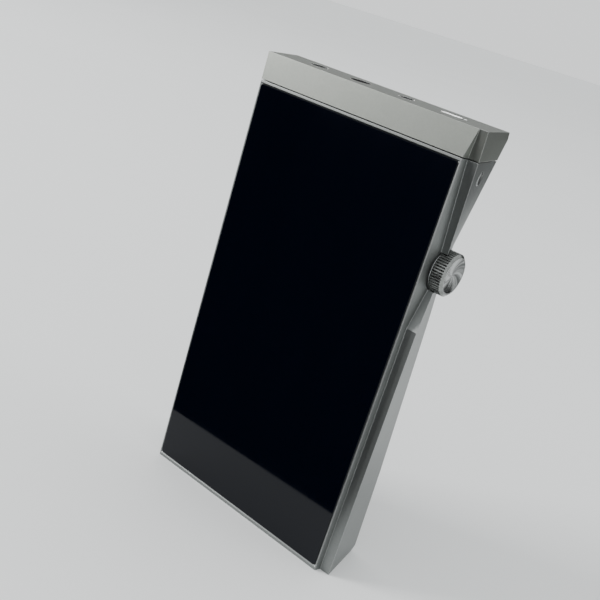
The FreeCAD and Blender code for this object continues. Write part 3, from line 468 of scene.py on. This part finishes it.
def socket_contacts(gold):
    """Gilded leaf contacts inside each headphone socket."""
    for size, radius, count in SOCKET_CONTACTS:
        low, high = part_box("socket_ring_" + size)
        axis = (low + high) / 2
        deep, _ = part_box("socket_body_" + size)
        bm = bmesh.new()
        for k in range(count):
            angle = math.radians(35 + 360 * k / count)
            top = low.z - (0.6 + 1.2 * k) * MM
            length = min(4.2 * MM, top - deep.z - 1.6 * MM)
            leaf_spring(bm, axis, radius * MM, angle, top, length)
        bmesh.ops.recalc_face_normals(bm, faces=bm.faces)
        mesh = bpy.data.meshes.new("socket_contacts_" + size)
        bm.to_mesh(mesh)
        bm.free()
        piece("socket_contacts_" + size, mesh, "module", gold)


def bar(bm, low, high):
    """A small block with softened corners."""
    result = bmesh.ops.create_cube(bm, size=1.0)
    middle = [(a + b) / 2 for a, b in zip(low, high)]
    span = [b - a for a, b in zip(low, high)]
    for v in result["verts"]:
        v.co = Vector([m + c * s for m, c, s in zip(middle, v.co, span)])
    edges = {e for v in result["verts"] for e in v.link_edges}
    bmesh.ops.bevel(bm, geom=list(edges), offset=min(span) * 0.2, segments=2, affect="EDGES")


def usb_contacts(gold):
    """Two rows of contact pads on the tongue of the lower connector."""
    low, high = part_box("usb_tongue")
    middle = (low + high) / 2
    bm = bmesh.new()
    half_width, half_height = 0.13 * MM, 0.03 * MM
    start, end = low.z + 0.5 * MM, low.z + 3.4 * MM
    for k in range(USB_PADS):
        x = middle.x + (k - (USB_PADS - 1) / 2) * USB_PITCH
        for y in (low.y, high.y):
            bar(bm, (x - half_width, y - half_height, start), (x + half_width, y + half_height, end))
    mesh = bpy.data.meshes.new("usb_contacts")
    bm.to_mesh(mesh)
    bm.free()
    piece("usb_contacts", mesh, "player", gold)


# ---- studio ----------------------------------------------------------------
def sheet(name, corners, surface):
    """A flat four-cornered piece of the studio; returns it with its material's tree and shader."""
    mesh = bpy.data.meshes.new(name)
    mesh.from_pydata(corners, [], [(0, 1, 2, 3)])
    obj = bpy.data.objects.new(name, mesh)
    bpy.context.scene.collection.objects.link(obj)
    mat, tree, shader = new_material(surface)
    mesh.materials.append(mat)
    return obj, tree, shader


def pale_floor():
    reach = 40.0
    corners = [(-reach, -reach, 0), (reach, -reach, 0), (reach, reach, 0), (-reach, reach, 0)]
    _, tree, shader = sheet("floor", corners, "floor_paper")
    tone = noise(tree, place(tree), 3.0, 2.0, 0.5)
    shade = blend_colour(tree, spread(tree, tone, 0.0, 1.0), (0.86, 0.87, 0.87), (0.88, 0.89, 0.89))
    tree.links.new(shade, shader.inputs["Base Color"])
    shader.inputs["Roughness"].default_value = 0.9
    shader.inputs["Specular IOR Level"].default_value = 0.1


def area_light(name, where, aim, size, power):
    data = bpy.data.lights.new(name, "AREA")
    data.shape = "RECTANGLE"
    data.size, data.size_y = size
    data.energy = power
    lamp = bpy.data.objects.new(name, data)
    bpy.context.scene.collection.objects.link(lamp)
    lamp.location = where
    lamp.rotation_euler = (Vector(aim) - Vector(where)).to_track_quat("-Z", "Y").to_euler()
    return lamp


def studio():
    """Even pale light, two soft lamps, and a strip and dark cards that only reflections show."""
    world = bpy.data.worlds.new("studio")
    bpy.context.scene.world = world
    world.use_nodes = True
    back = world.node_tree.nodes["Background"]
    back.inputs["Color"].default_value = (0.90, 0.92, 0.925, 1.0)
    back.inputs["Strength"].default_value = 1.25
    middle = (0.0, 0.0, 0.07)
    area_light("key", (-2.2, -1.6, 0.75), middle, (1.0, 0.8), 110.0)
    area_light("fill", (1.1, 0.45, 0.22), middle, (0.6, 0.35), 1.5)
    strip_z = 0.2035
    strip = area_light("strip", (-0.45, 0.675, strip_z), (0.0, -0.225, strip_z), (1.0, 0.06), 0.4)
    on_floor = [(-0.45, -0.016, MM), (0.06, -0.040, MM), (0.20, -1.25, MM), (-1.45, -1.25, MM)]
    rear_left, rear_right = (-0.9, 0.45), (0.0, 0.9)
    flags = [
        card("side_flag", upright((-0.03, 0.5), (0.47, 0.5), 0, 0.26)),
        card("front_flag", on_floor),
        card("low_flag", upright(rear_left, rear_right, 0, 0.172)),
        card("high_flag", upright(rear_left, rear_right, 0.235, 0.6)),
    ]
    for item in [strip] + flags:
        only_in_reflections(item)


def upright(start, end, bottom, top):
    """Corners of a standing rectangle over the floor line from start to end."""
    return [(*start, bottom), (*end, bottom), (*end, top), (*start, top)]


def card(name, corners):
    """A dark felt card of the studio, such as a photographer's flag."""
    board, tree, shader = sheet(name, corners, name + "_felt")
    shade = blend_colour(tree, noise(tree, place(tree), 40.0), (0.01, 0.01, 0.01), (0.02, 0.02, 0.02))
    tree.links.new(shade, shader.inputs["Base Color"])
    shader.inputs["Roughness"].default_value = 1.0
    shader.inputs["Specular IOR Level"].default_value = 0.0
    return board


def only_in_reflections(item):
    """Hides a card or lamp from everything except glossy reflections."""
    item.visible_camera = False
    item.visible_diffuse = False
    item.visible_shadow = False
    item.visible_transmission = False


def camera():
    """The photograph's viewing angle: right, down and forward directions of the picture."""
    right = Vector((0.7548057, 0.5922253, 0.2820240))
    down = Vector((0.4173464, -0.1018918, -0.9030172))
    forward = Vector((-0.5060537, 0.7993042, -0.3240716))
    data = bpy.data.cameras.new("camera")
    data.sensor_width = 36.0
    data.lens = 52.18
    data.clip_start = 0.01
    eye = bpy.data.objects.new("camera", data)
    bpy.context.scene.collection.objects.link(eye)
    turn = Matrix((right, -down, -forward)).transposed().to_4x4()
    eye.matrix_world = Matrix.Translation((0.12839, -0.21192, 0.15588)) @ turn
    bpy.context.scene.camera = eye


dress_frame(build_materials())
GOLD = brushed_metal("gold_plate", (0.86, 0.62, 0.26), 0.2)
socket_contacts(GOLD)
usb_contacts(GOLD)
pale_floor()
studio()
camera()
